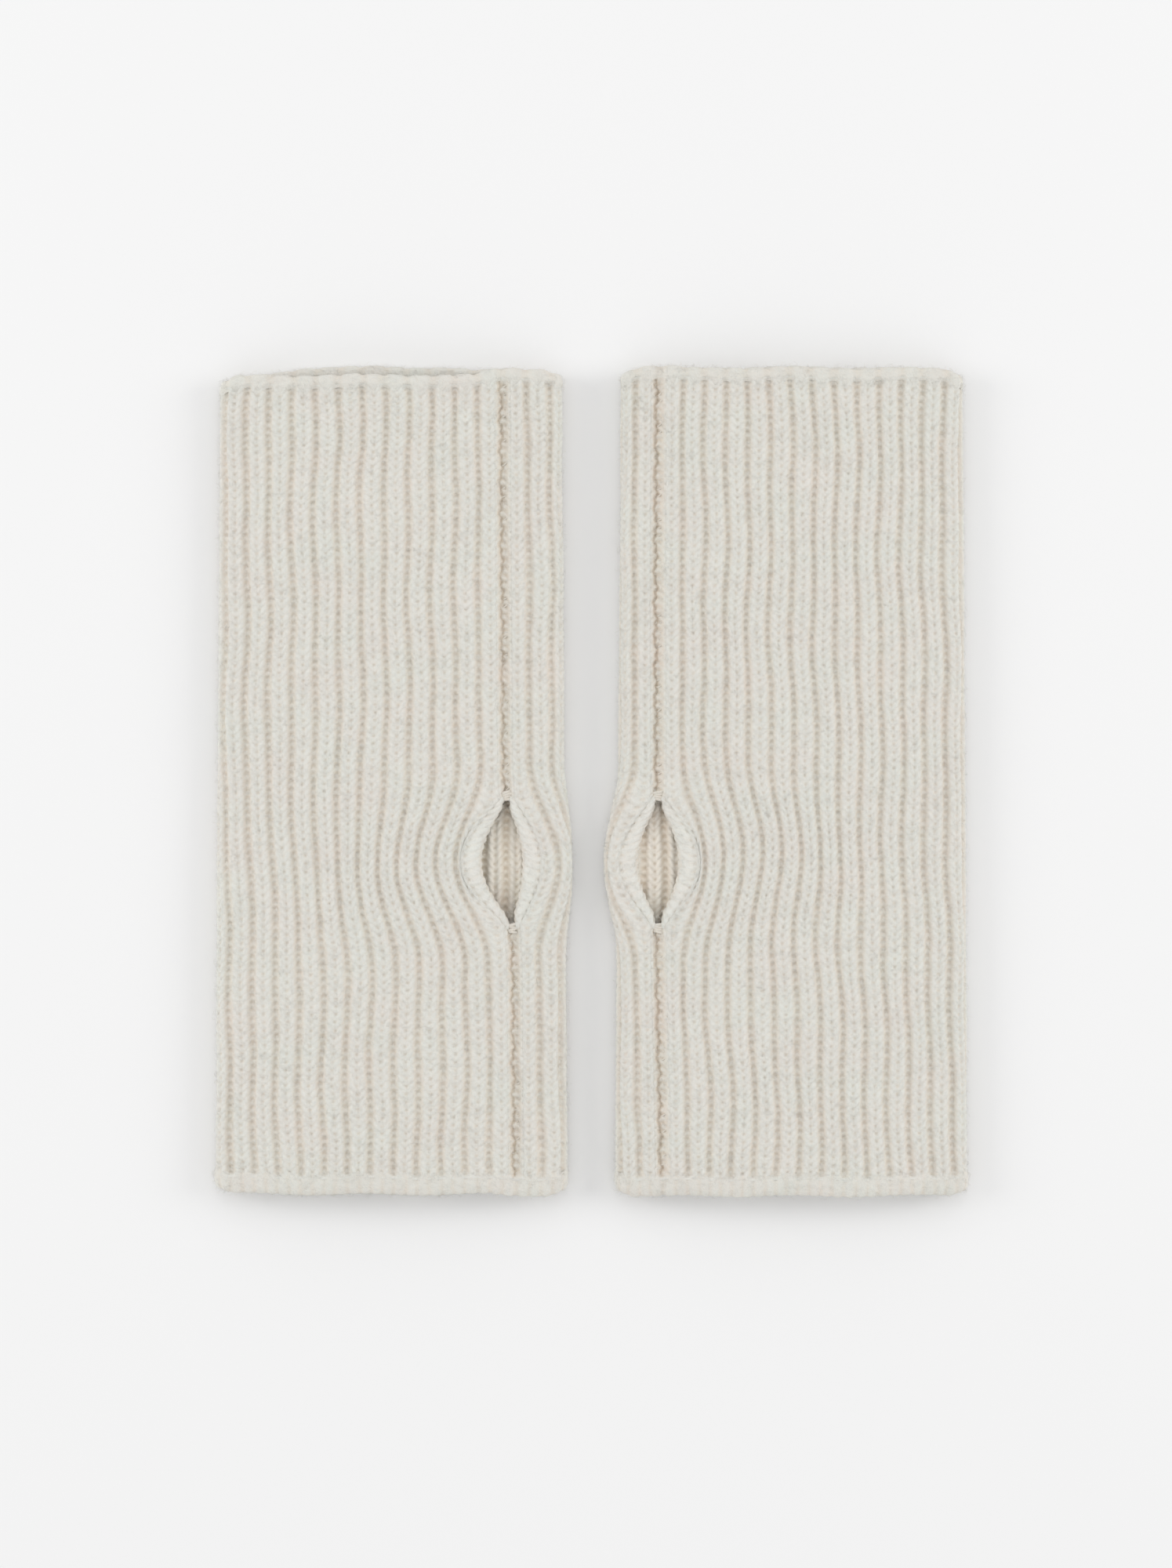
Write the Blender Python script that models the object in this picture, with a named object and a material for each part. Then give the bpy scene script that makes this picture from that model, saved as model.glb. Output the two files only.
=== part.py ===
"""A pair of ribbed, knitted fingerless gloves, lying flat with their thumb sides together.

Each glove is one ribbed panel wrapped into a flat tube and linked up a single seam, on the palm near
the thumb side. The seam is left open for the thumb, where the panel's two edges are turned back into
soft rolls between two tacks. A bound-off edge ends the arm, and a rolled cast-on edge ends the
fingers. The panel and its seam are split at the wrist, where the glove folds.

The frame: +X towards the right glove, +Y towards the arm ends, +Z up, and the origin midway between
the gloves, on the surface that they lie on. All sizes are in metres.

Inside a glove, `across` runs from its middle line towards its thumb side, and `y` is the frame's Y.
"""

import math
from dataclasses import dataclass

import bmesh
import bpy

# Lengths along the glove, from the finger edge to the arm edge.
FINGER_SECTION = 0.0700
SLIT_LENGTH = 0.0315
WRIST_SECTION = 0.0300
ARM_SECTION = 0.0815
FINGER_EDGE = 0.0042
ARM_EDGE = 0.0026

# Widths across the flat tube, and how high it lies.
ARM_WIDTH = 0.0881
FINGER_WIDTH = 0.0909
KNIT = 0.0026
FOLD_INNER_RADIUS = 0.0010
HAND_GAP = 0.0058
GAP_BETWEEN_GLOVES = 0.0118

# The seam, and the thumb opening in it.
SEAM_WIDTH = 0.0036
SEAM_RECESS = 0.0005
SEAM_RIDGE = 0.0005
SLIT_WIDTH = 0.0110
ROLL_WIDTH = 0.0042
ROLL_PROUD = 0.0002
TACK_LENGTH = 0.0028
SOFT_BULGE = 0.0020
BULGE_RUNOUT = 0.0100

CLEARANCE = 0.0003

# Facets.
SLIT_STEPS = 10
RUNOUT_STEPS = 2
THUMB_TOP_STEPS = 3
PALM_TOP_STEPS = 7
FOLD_STEPS = 6
BASE_STEPS = 3
ROLL_SIDES = 8

FOLD_RADIUS = KNIT + FOLD_INNER_RADIUS
CROWN_HEIGHT = 2 * KNIT + HAND_GAP
GLOVE_LENGTH = FINGER_SECTION + SLIT_LENGTH + WRIST_SECTION + ARM_SECTION
FINGER_Y = -GLOVE_LENGTH / 2
SLIT_LOW_Y = FINGER_Y + FINGER_SECTION
SLIT_HIGH_Y = SLIT_LOW_Y + SLIT_LENGTH
SLIT_MIDDLE_Y = (SLIT_LOW_Y + SLIT_HIGH_Y) / 2
WRIST_Y = SLIT_HIGH_Y + WRIST_SECTION
ARM_Y = WRIST_Y + ARM_SECTION
BULGE_REACH = SLIT_LENGTH / 2 + BULGE_RUNOUT
GLOVE_MIDDLE_X = (max(ARM_WIDTH, FINGER_WIDTH) + GAP_BETWEEN_GLOVES) / 2


@dataclass(frozen=True)
class Glove:
    """One glove: inward is +1 if its thumb side faces +X, and seam_inset is measured from that side.

    opening_bow is how far the middle of the thumb opening sits from the seam's line, towards the palm.
    """

    name: str
    inward: int
    seam_inset: float
    opening_bow: float


GLOVES = (
    Glove(name="left", inward=1, seam_inset=0.0146, opening_bow=0.0018),
    Glove(name="right", inward=-1, seam_inset=0.0106, opening_bow=0.0),
)


def along_slit(y):
    """1 at the middle of the thumb opening, 0 at its ends and beyond."""
    share = (y - SLIT_MIDDLE_Y) / (SLIT_LENGTH / 2)
    return math.cos(math.pi / 2 * share) if abs(share) < 1 else 0.0


def slit_half_width(y):
    return CLEARANCE / 2 + SLIT_WIDTH / 2 * along_slit(y)


def roll_width(y):
    """A roll tapers to half the seam's width at the tacks."""
    end = (SEAM_WIDTH - CLEARANCE) / 2
    return end + (ROLL_WIDTH - end) * along_slit(y)


def lip_distance(y):
    """From the seam's middle line to each of the panel's two edges."""
    return slit_half_width(y) + roll_width(y) + CLEARANCE


def half_width(y):
    share = (y - FINGER_Y) / GLOVE_LENGTH
    return (FINGER_WIDTH + (ARM_WIDTH - FINGER_WIDTH) * share) / 2


def thumb_fold(glove, y):
    """The thumb-side fold, pushed out beside the opening so that it always clears the roll there."""
    needed = lip_distance(SLIT_MIDDLE_Y) + FOLD_RADIUS + CLEARANCE
    bulge = max(SOFT_BULGE, needed - glove.seam_inset - glove.opening_bow)
    share = (y - SLIT_MIDDLE_Y) / BULGE_REACH
    if abs(share) >= 1:
        return half_width(y)
    return half_width(y) + bulge * math.cos(math.pi / 2 * share) ** 2


def seam_across(glove, y):
    return half_width(y) - glove.seam_inset - glove.opening_bow * along_slit(y)


def top_height(glove, across, y):
    """Height of the palm's outer face: level with the side folds there, and crowned between them."""
    low, high = FOLD_RADIUS - half_width(y), thumb_fold(glove, y) - FOLD_RADIUS
    share = min(1.0, abs(2 * across - low - high) / (high - low))
    return 2 * FOLD_RADIUS + (CROWN_HEIGHT - 2 * FOLD_RADIUS) * (1 - share**4) ** 1.5


def shape_stations():
    """The places along Y where the outline or the opening changes, from the fingers to the arm."""
    slit = [SLIT_LOW_Y + SLIT_LENGTH * i / SLIT_STEPS for i in range(SLIT_STEPS + 1)]
    steps = [BULGE_RUNOUT * (i + 1) / RUNOUT_STEPS for i in range(RUNOUT_STEPS)]
    return sorted([SLIT_LOW_Y - d for d in steps] + slit + [SLIT_HIGH_Y + d for d in steps])


def stations(low, high):
    return [low] + [y for y in shape_stations() if low < y < high] + [high]


def place(glove, across, y, z):
    return (glove.inward * (across - GLOVE_MIDDLE_X), y, z)


def evenly(start, end, steps):
    """The points from start up to, but not including, end."""
    return [start + (end - start) * i / steps for i in range(steps)]


def wall_path(glove, y, lip):
    """The middle of the fabric around the tube at y, as (across, z, normal across, normal z).

    It starts at the seam's thumb-side lip, and goes round by the back of the hand to the other lip.
    """
    seam = seam_across(glove, y)
    outer_turn, thumb_turn = FOLD_RADIUS - half_width(y), thumb_fold(glove, y) - FOLD_RADIUS
    fold = FOLD_RADIUS - KNIT / 2
    path = []

    def top(points):
        path.extend((a, top_height(glove, a, y) - KNIT / 2, 0.0, 1.0) for a in points)

    def turn(centre, start, end):
        for angle in evenly(math.radians(start), math.radians(end), FOLD_STEPS):
            c, s = math.cos(angle), math.sin(angle)
            path.append((centre + fold * c, FOLD_RADIUS + fold * s, c, s))

    top(evenly(seam + lip, thumb_turn, THUMB_TOP_STEPS))
    turn(thumb_turn, 90, -90)
    path.extend((a, KNIT / 2, 0.0, -1.0) for a in evenly(thumb_turn, outer_turn, BASE_STEPS))
    turn(outer_turn, 270, 90)
    top([*evenly(outer_turn, seam - lip, PALM_TOP_STEPS), seam - lip])
    return path


def offset_path(glove, path, y, distance):
    return [place(glove, a + na * distance, y, z + nz * distance) for a, z, na, nz in path]


def knit_material():
    """Off-white brushed wool."""
    material = bpy.data.materials.new("cream_wool_knit")
    material.use_nodes = True
    shader = material.node_tree.nodes["Principled BSDF"]
    shader.inputs["Base Color"].default_value = (0.78, 0.75, 0.69, 1.0)
    shader.inputs["Roughness"].default_value = 0.95
    shader.inputs["Metallic"].default_value = 0.0
    return material


def linking_material():
    """The linking yarn, which lies in the shade of the seam's gutter."""
    material = bpy.data.materials.new("linking_yarn")
    material.use_nodes = True
    shader = material.node_tree.nodes["Principled BSDF"]
    shader.inputs["Base Color"].default_value = (0.70, 0.65, 0.58, 1.0)
    shader.inputs["Roughness"].default_value = 0.95
    shader.inputs["Metallic"].default_value = 0.0
    return material


def add_object(name, points, faces, material):
    mesh = bpy.data.meshes.new(name)
    mesh.from_pydata(points, [], faces)
    shaped = bmesh.new()
    shaped.from_mesh(mesh)
    bmesh.ops.recalc_face_normals(shaped, faces=shaped.faces)
    shaped.to_mesh(mesh)
    shaped.free()
    mesh.shade_smooth()
    mesh.set_sharp_from_angle(angle=math.radians(50))
    mesh.materials.append(material)
    made = bpy.data.objects.new(name, mesh)
    bpy.context.scene.collection.objects.link(made)
    return made


def wall_solid(name, rows, wraps, material):
    """A closed wall. Each row is (outer points, inner points) at one station; wraps joins a row's ends."""
    count, last = len(rows[0][0]), len(rows) - 1
    points = [p for outer, inner in rows for p in [*outer, *inner]]

    def outer(row, i):
        return 2 * count * row + i % count

    def inner(row, i):
        return outer(row, i) + count

    faces = []
    for i in range(count if wraps else count - 1):
        for side in (outer, inner):
            faces += [(side(r, i), side(r, i + 1), side(r + 1, i + 1), side(r + 1, i)) for r in range(last)]
        faces += [(outer(r, i), outer(r, i + 1), inner(r, i + 1), inner(r, i)) for r in (0, last)]
    if not wraps:
        for i in (0, count - 1):
            faces += [(outer(r, i), outer(r + 1, i), inner(r + 1, i), inner(r, i)) for r in range(last)]
    return add_object(name, points, faces, material)


def loft(name, loops, material):
    """A closed solid through equal loops of points, capped at both ends."""
    count = len(loops[0])
    points = [p for loop in loops for p in loop]
    faces = [tuple(range(count)), tuple(range((len(loops) - 1) * count, len(loops) * count))]
    for row in range(len(loops) - 1):
        start = row * count
        faces += [
            (start + i, start + (i + 1) % count, start + count + (i + 1) % count, start + count + i)
            for i in range(count)
        ]
    return add_object(name, points, faces, material)


def knit_panel(glove, section, low, high, material):
    """A length of the ribbed panel, from one lip of the seam round to the other."""
    rows = []
    for y in stations(low, high):
        path = wall_path(glove, y, lip_distance(y))
        rows.append([offset_path(glove, path, y, side * KNIT / 2) for side in (1, -1)])
    return wall_solid(f"{glove.name}_{section}_panel", rows, False, material)


def edge_ring(glove, section, low, high, material):
    """A finished edge: a round-topped ring of knitting that closes the tube's end."""
    rows = []
    for share in (0.0, 0.25, 0.75, 1.0):
        y = low + (high - low) * share
        round_off = math.sqrt(1 - 0.75 * (2 * share - 1) ** 2)
        path = wall_path(glove, y, 0.0)[:-1]
        rows.append([offset_path(glove, path, y, side * KNIT / 2 * round_off) for side in (1, -1)])
    return wall_solid(f"{glove.name}_{section}_edge", rows, True, material)


def seam_strip(glove, section, low, high, material):
    """The linked edges of the panel: a gutter outside and a low ridge inside."""
    loops = []
    for y in stations(low, high):
        across = seam_across(glove, y)
        top = top_height(glove, across, y)
        high_z, low_z = top - SEAM_RECESS, top - KNIT - SEAM_RIDGE
        left, right = across - SEAM_WIDTH / 2, across + SEAM_WIDTH / 2
        corners = ((left, low_z), (right, low_z), (right, high_z), (left, high_z))
        loops.append([place(glove, a, y, z) for a, z in corners])
    return loft(f"{glove.name}_{section}_seam", loops, material)


def thumb_roll(glove, section, side, material):
    """The turned edge on one side of the thumb opening; side is +1 towards the thumb-side fold."""
    loops = []
    for y in stations(SLIT_LOW_Y, SLIT_HIGH_Y):
        radius = roll_width(y) / 2
        across = seam_across(glove, y) + side * (slit_half_width(y) + radius)
        half_height = KNIT / 2 + ROLL_PROUD
        middle = top_height(glove, across, y) - KNIT / 2
        turns = [2 * math.pi * i / ROLL_SIDES for i in range(ROLL_SIDES)]
        loops.append(
            [
                place(glove, across + radius * math.cos(t), y, middle + half_height * math.sin(t))
                for t in turns
            ]
        )
    return loft(f"{glove.name}_thumb_roll_{section}", loops, material)


def tack(glove, section, low, high, material):
    """A bar of stitches that stops the opening from running up or down the seam."""
    loops = []
    corner = KNIT / 4
    for share in (0.0, 0.2, 0.8, 1.0):
        y = low + (high - low) * share
        across = seam_across(glove, y)
        inset = 0.0 if 0 < share < 1 else corner
        half = SEAM_WIDTH / 2 - inset
        top = top_height(glove, across, y) - inset
        base = top - KNIT + 2 * inset
        outline = (
            (across - half + corner, base),
            (across + half - corner, base),
            (across + half, base + corner),
            (across + half, top - corner),
            (across + half - corner, top),
            (across - half + corner, top),
            (across - half, top - corner),
            (across - half, base + corner),
        )
        loops.append([place(glove, a, y, z) for a, z in outline])
    return loft(f"{glove.name}_{section}_tack", loops, material)


def make_glove(glove, knit, linking):
    """All the pieces of one glove, from the finger edge to the arm edge."""
    half_clear = CLEARANCE / 2
    hand_low, hand_high = FINGER_Y + FINGER_EDGE + CLEARANCE, WRIST_Y - half_clear
    arm_low, arm_high = WRIST_Y + half_clear, ARM_Y - ARM_EDGE - CLEARANCE
    knit_panel(glove, "hand", hand_low, hand_high, knit)
    knit_panel(glove, "arm", arm_low, arm_high, knit)
    edge_ring(glove, "finger", FINGER_Y, FINGER_Y + FINGER_EDGE, knit)
    edge_ring(glove, "arm", ARM_Y - ARM_EDGE, ARM_Y, knit)

    low_tack = SLIT_LOW_Y - CLEARANCE - TACK_LENGTH
    high_tack = SLIT_HIGH_Y + CLEARANCE + TACK_LENGTH
    tack(glove, "lower", low_tack, SLIT_LOW_Y - CLEARANCE, linking)
    tack(glove, "upper", SLIT_HIGH_Y + CLEARANCE, high_tack, linking)
    thumb_roll(glove, "palm", -1, knit)
    thumb_roll(glove, "side", 1, knit)
    seam_strip(glove, "finger", hand_low, low_tack - CLEARANCE, linking)
    seam_strip(glove, "wrist", high_tack + CLEARANCE, hand_high, linking)
    seam_strip(glove, "arm", arm_low, arm_high, linking)


def main():
    for old in list(bpy.data.objects):
        bpy.data.objects.remove(old)
    knit, linking = knit_material(), linking_material()
    for glove in GLOVES:
        make_glove(glove, knit, linking)


main()
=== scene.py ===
"""A pair of ribbed wool fingerless gloves, lying flat: their knitting, seams, edges and stray fibres.

Every piece is worked out from the same sizes as the solid model, in the same frame: +X towards the
right glove, +Y towards the arm ends, +Z up, in metres. Inside a glove, `across` runs from its middle
line towards its thumb side, and a point on the fabric is also known by two counts: `rib`, which is
whole at the middle of each purl furrow, and `course`, which counts rows of stitches from the fingers.
"""

import math
from dataclasses import dataclass

import bpy
import numpy as np
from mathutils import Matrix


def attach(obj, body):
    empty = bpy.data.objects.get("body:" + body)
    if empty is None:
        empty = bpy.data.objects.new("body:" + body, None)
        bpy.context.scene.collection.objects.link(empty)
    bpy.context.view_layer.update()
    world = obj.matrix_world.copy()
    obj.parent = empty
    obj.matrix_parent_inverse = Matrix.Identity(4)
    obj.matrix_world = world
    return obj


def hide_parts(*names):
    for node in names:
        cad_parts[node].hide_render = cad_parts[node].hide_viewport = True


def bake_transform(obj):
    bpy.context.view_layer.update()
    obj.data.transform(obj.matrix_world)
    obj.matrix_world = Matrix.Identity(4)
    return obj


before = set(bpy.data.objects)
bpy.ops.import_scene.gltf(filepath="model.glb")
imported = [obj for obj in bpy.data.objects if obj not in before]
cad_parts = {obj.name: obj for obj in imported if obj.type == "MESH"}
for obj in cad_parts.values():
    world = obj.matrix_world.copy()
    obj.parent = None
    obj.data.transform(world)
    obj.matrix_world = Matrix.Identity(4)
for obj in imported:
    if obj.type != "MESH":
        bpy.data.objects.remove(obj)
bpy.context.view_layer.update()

# The glove's own sizes.
FINGER_SECTION = 0.0700
SLIT_LENGTH = 0.0315
WRIST_SECTION = 0.0300
ARM_SECTION = 0.0815
FINGER_EDGE = 0.0042
ARM_EDGE = 0.0026
ARM_WIDTH = 0.0881
FINGER_WIDTH = 0.0909
KNIT = 0.0026
FOLD_RADIUS = 0.0036
CROWN_HEIGHT = 0.0110
GAP_BETWEEN_GLOVES = 0.0118
SEAM_WIDTH = 0.0036
SLIT_WIDTH = 0.0110
ROLL_WIDTH = 0.0042
SOFT_BULGE = 0.0020
BULGE_RUNOUT = 0.0100
CLEARANCE = 0.0003

GLOVE_LENGTH = FINGER_SECTION + SLIT_LENGTH + WRIST_SECTION + ARM_SECTION
FINGER_Y = -GLOVE_LENGTH / 2
SLIT_LOW_Y = FINGER_Y + FINGER_SECTION
SLIT_HIGH_Y = SLIT_LOW_Y + SLIT_LENGTH
SLIT_MIDDLE_Y = (SLIT_LOW_Y + SLIT_HIGH_Y) / 2
WRIST_Y = SLIT_HIGH_Y + WRIST_SECTION
ARM_Y = WRIST_Y + ARM_SECTION
GLOVE_MIDDLE_X = (max(ARM_WIDTH, FINGER_WIDTH) + GAP_BETWEEN_GLOVES) / 2

# The knitting.
COURSE_HEIGHT = 0.00203
FIRST_COURSE_Y = FINGER_Y + FINGER_EDGE
LAST_COURSE_Y = ARM_Y - ARM_EDGE
HAND_COURSES = 60
LIP_RIB = 0.22
RIB_DEPTH = 0.0010
LIP_REACH = 0.0046
CROWDING_REACH = 0.0600
CROWDING_FALL = 1.6
FINE_STEPS, BACK_STEPS, INSIDE_STEPS = 16, 8, 7
COURSE_STEPS, INSIDE_COURSE_STEPS = 6, 2

# What the wool's softness adds round the thumb opening: how far its rolled edges swell into it, lap over
# the panel and run on past its ends, how deep the panel's edges tuck in, and how far the back of the tube
# stands up behind it.
ROLL_SWELL = 0.0009
ROLL_LAP = 0.0011
ROLL_RUNOUT = 0.0028
LIP_TUCK = 0.0003
INSIDE_LIFT = 0.0042
INSIDE_RUNOUT = 0.0260
INSIDE_REACH, INSIDE_FALL = 0.0125, 0.0065

# How unevenly the gloves lie, and how their ends curve away at the two folds.
UNEVEN_LIE = 0.0003
RIB_WAVER = 0.00030
EDGE_RIPPLE = 0.00025
CORNER_ROUNDING = 0.0013
CORNER_REACH = 0.0055
ROUNDING_RUNOUT = 0.0100
ARM_SAG_RUNOUT, FINGER_SAG_RUNOUT = 0.0300, 0.0200

# The seam and its yarn.
GUTTER_TUCK = 0.0008
GUTTER_END_SINK, GUTTER_END_RUNOUT = 0.0007, 0.0011
LINKING_RADIUS, TACK_RADIUS = 0.00019, 0.00042
TACK_OFFSET = 0.0012
LINKING_STOP = 0.0025

# The rolled edges: how deep the gaps between their loops are, and how lumpy they are.
FINGER_LOOP_DEPTH, ARM_LOOP_DEPTH = 0.00030, 0.00042
EDGE_LUMPS = 0.00018

# The fluff: how many fibres stand on a square metre of wool, and how long one is.
FIBRES_PER_AREA = 1500000.0
FIBRE_LENGTH = 0.0014


@dataclass(frozen=True)
class Glove:
    """One glove. Its ribs are counted from the seam, round by the back of the hand, to the seam again.

    The ribs between first_back_rib and first_palm_rib lie underneath. The sags say how far the palm
    side's ends stand back from the back's, and the leans how far the seam strays towards the thumb side
    by each end, over lean_reach.
    """

    name: str
    inward: int
    seam_inset: float
    opening_bow: float
    ribs: int
    first_back_rib: int
    first_palm_rib: int
    arm_sag: float
    finger_sag: float
    arm_lean: float
    finger_lean: float
    lean_reach: float
    seed: int


GLOVES = (
    Glove("left", 1, 0.0146, 0.0018, 31, 4, 17, 0.0027, 0.0008, -0.0009, 0.0012, 0.0300, 3),
    Glove("right", -1, 0.0106, 0.0, 33, 3, 18, 0.0008, 0.0003, 0.0006, -0.0018, 0.0900, 8),
)


# The shape of a glove


def smooth(t):
    t = np.clip(t, 0.0, 1.0)
    return t * t * (3 - 2 * t)


def along_slit(y):
    """1 at the middle of the thumb opening, 0 at its ends and beyond."""
    share = np.clip((y - SLIT_MIDDLE_Y) / (SLIT_LENGTH / 2), -1, 1)
    return np.cos(np.pi / 2 * share)


def slit_half_width(y):
    return CLEARANCE / 2 + SLIT_WIDTH / 2 * along_slit(y)


def roll_width(y):
    end = (SEAM_WIDTH - CLEARANCE) / 2
    return end + (ROLL_WIDTH - end) * along_slit(y)


def lip_distance(y):
    """From the seam's middle line to each edge of the panel."""
    return slit_half_width(y) + roll_width(y)


def half_width(y):
    share = (y - FINGER_Y) / GLOVE_LENGTH
    return (FINGER_WIDTH + (ARM_WIDTH - FINGER_WIDTH) * share) / 2


def swell(y, runout):
    share = np.clip((y - SLIT_MIDDLE_Y) / (SLIT_LENGTH / 2 + runout), -1, 1)
    return np.cos(np.pi / 2 * share) ** 2


def bulge(glove, y):
    needed = lip_distance(SLIT_MIDDLE_Y) + CLEARANCE + FOLD_RADIUS + CLEARANCE
    reach = max(SOFT_BULGE, needed - glove.seam_inset - glove.opening_bow)
    return reach * swell(y, BULGE_RUNOUT)


def seam_lean(glove, y):
    """No seam is sewn quite straight."""
    towards_arm = smooth((y - SLIT_MIDDLE_Y) / glove.lean_reach)
    towards_fingers = smooth((SLIT_MIDDLE_Y - y) / glove.lean_reach)
    return glove.arm_lean * towards_arm + glove.finger_lean * towards_fingers


def seam_across(glove, y):
    middle = half_width(y) - glove.seam_inset - glove.opening_bow * along_slit(y)
    return middle + seam_lean(glove, y)


def top_height(glove, across, y):
    low, high = FOLD_RADIUS - half_width(y), half_width(y) + bulge(glove, y) - FOLD_RADIUS
    share = np.clip(np.abs(2 * across - low - high) / (high - low), 0, 1)
    lie = UNEVEN_LIE * np.sin(across * 95 + y * 41 + glove.seed) * np.cos(y * 63 - across * 37)
    crown = (CROWN_HEIGHT - 2 * FOLD_RADIUS - UNEVEN_LIE + lie) * (1 - share**4) ** 1.5
    return 2 * FOLD_RADIUS + crown


def outline(glove, y):
    """The outer face round the tube at y, from the panel's edge on the thumb side to its edge on the palm.

    Returns points and outward normals as (across, z) pairs, and the length along it at each point.
    """
    seam, lip = seam_across(glove, y), lip_distance(y)
    outer_turn = FOLD_RADIUS - half_width(y)
    thumb_turn = half_width(y) + bulge(glove, y) - FOLD_RADIUS
    angles = np.radians(np.linspace(90, -90, 25))
    bend = np.stack([np.cos(angles), 1 + np.sin(angles)], 1) * FOLD_RADIUS
    near = np.linspace(seam + lip, thumb_turn, 60)
    palm = np.linspace(outer_turn, seam - lip, 240)
    points = np.concatenate(
        [
            np.stack([near, top_height(glove, near, y)], 1)[:-1],
            bend + [thumb_turn, 0],
            bend[::-1] * [-1, 1] + [outer_turn, 0],
            np.stack([palm, top_height(glove, palm, y)], 1)[1:],
        ]
    )
    steps = np.linalg.norm(np.diff(points, axis=0), axis=1)
    length = np.concatenate([[0], np.cumsum(steps)])
    tangent = np.gradient(points, length, axis=0)
    tangent /= np.linalg.norm(tangent, axis=1, keepdims=True)
    return points, np.stack([-tangent[:, 1], tangent[:, 0]], 1), length


def crowding(distance, lip_shift, spread_shift):
    """How far a rib is pushed from the seam by the thumb opening; the effect fades away from it."""
    near = smooth(distance / LIP_REACH)
    fade = np.clip(1 - distance / CROWDING_REACH, 0, 1) ** CROWDING_FALL
    return fade * ((1 - near) * lip_shift + near * spread_shift)


def waver(glove, distance, y):
    """Ribs never run quite straight."""
    return RIB_WAVER * (
        np.sin(y * 88 + distance * 60 + glove.seed) + np.sin(y * 173 - distance * 95 + 2 * glove.seed)
    )


def rib_lengths(glove, ribs, y, total):
    """Where each rib count falls along the outline at y."""
    opened = lip_distance(y) - lip_distance(FINGER_Y)
    most = lip_distance(SLIT_MIDDLE_Y) - lip_distance(FINGER_Y)
    bow = glove.opening_bow * along_slit(y)
    palm_shift, thumb_shift = opened + bow, opened - bow - 2 * bulge(glove, y)
    natural = total + palm_shift + thumb_shift
    distance = (ribs - LIP_RIB) / (glove.ribs - 2 * LIP_RIB) * natural
    spread = 0.80 * swell(y, BULGE_RUNOUT)
    from_thumb = distance - thumb_shift
    from_thumb += crowding(distance, thumb_shift, spread * 0.35 * most)
    rest = natural - distance
    from_palm = rest - palm_shift + crowding(rest, palm_shift, spread * (most + glove.opening_bow))
    ends = smooth(distance / 0.01) * smooth(rest / 0.01)
    found = np.where(distance < natural / 2, from_thumb, total - from_palm)
    return found + ends * waver(glove, distance, y)


def end_shift(glove, across, height, y):
    """The tube's ends aren't cut square. The back stands out past the palm side between the two folds."""
    palm = smooth((height - FOLD_RADIUS) / FOLD_RADIUS)
    beside_seam = smooth((across - seam_across(glove, y) + 0.008) / 0.008)
    from_outer, from_thumb = across + half_width(y), half_width(y) + bulge(glove, y) - across
    standing = (1 - palm) * smooth((from_outer - 0.004) / 0.022) * smooth((from_thumb - 0.004) / 0.030)
    share = (1 - 0.7 * beside_seam) * (1 - standing)
    rounded = CORNER_ROUNDING * (1 - smooth(np.minimum(from_outer, from_thumb) / CORNER_REACH))
    to_arm, to_fingers = y - ARM_Y, FINGER_Y - y
    arm = smooth((to_arm + ARM_SAG_RUNOUT) / ARM_SAG_RUNOUT) * glove.arm_sag * share
    finger = smooth((to_fingers + FINGER_SAG_RUNOUT) / FINGER_SAG_RUNOUT) * glove.finger_sag * share
    arm = arm + smooth((to_arm + ROUNDING_RUNOUT) / ROUNDING_RUNOUT) * rounded
    finger = finger + smooth((to_fingers + ROUNDING_RUNOUT) / ROUNDING_RUNOUT) * rounded
    ripple = EDGE_RIPPLE * np.sin(across * 210 + glove.seed) * smooth((np.abs(y) - 0.09) / 0.015)
    return finger - arm + ripple


def fabric(glove, ribs, ys, inset=0.0):
    """Points and outward normals of the tube's fabric as [row, column, xyz], inset under its outer face."""
    points = np.empty((len(ys), len(ribs), 3))
    outs = np.zeros_like(points)
    for row, y in enumerate(ys):
        path, normals, length = outline(glove, y)
        at = rib_lengths(glove, ribs, y, length[-1])
        across, z = (np.interp(at, length, path[:, i]) for i in (0, 1))
        out_across, out_z = (np.interp(at, length, normals[:, i]) for i in (0, 1))
        points[row, :, 0] = glove.inward * (across - inset * out_across - GLOVE_MIDDLE_X)
        points[row, :, 1] = y + end_shift(glove, across, z, y)
        points[row, :, 2] = z - inset * out_z
        outs[row, :, 0], outs[row, :, 2] = glove.inward * out_across, out_z
    return points, outs


# Meshes


def grid_object(name, points, outs, wraps=False, **attributes):
    """A sheet through a grid of points, facing along outs, with the named values at each point."""
    rows, columns = points.shape[:2]
    index = np.arange(rows * columns).reshape(rows, columns)
    right = np.roll(index, -1, axis=1) if wraps else index[:, 1:]
    left = index if wraps else index[:, :-1]
    faces = np.stack([left[:-1], right[:-1], right[1:], left[1:]], -1).reshape(-1, 4)
    flat = points.reshape(-1, 3)
    a, b, _, d = (flat[faces[:, i]] for i in range(4))
    facing = (np.cross(b - a, d - a) * outs.reshape(-1, 3)[faces[:, 0]]).sum()
    if facing < 0:
        faces = faces[:, ::-1]
    mesh = bpy.data.meshes.new(name)
    mesh.from_pydata(flat.tolist(), [], faces.tolist())
    layer = mesh.attributes.new("out", "FLOAT_VECTOR", "POINT")
    layer.data.foreach_set("vector", outs.reshape(-1).astype(np.float32))
    for key, values in attributes.items():
        layer = mesh.attributes.new(key, "FLOAT", "POINT")
        values = np.broadcast_to(values, (rows, columns))
        layer.data.foreach_set("value", values.reshape(-1).astype(np.float32))
    mesh.shade_smooth()
    made = bpy.data.objects.new(name, mesh)
    bpy.context.scene.collection.objects.link(made)
    return made


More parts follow.
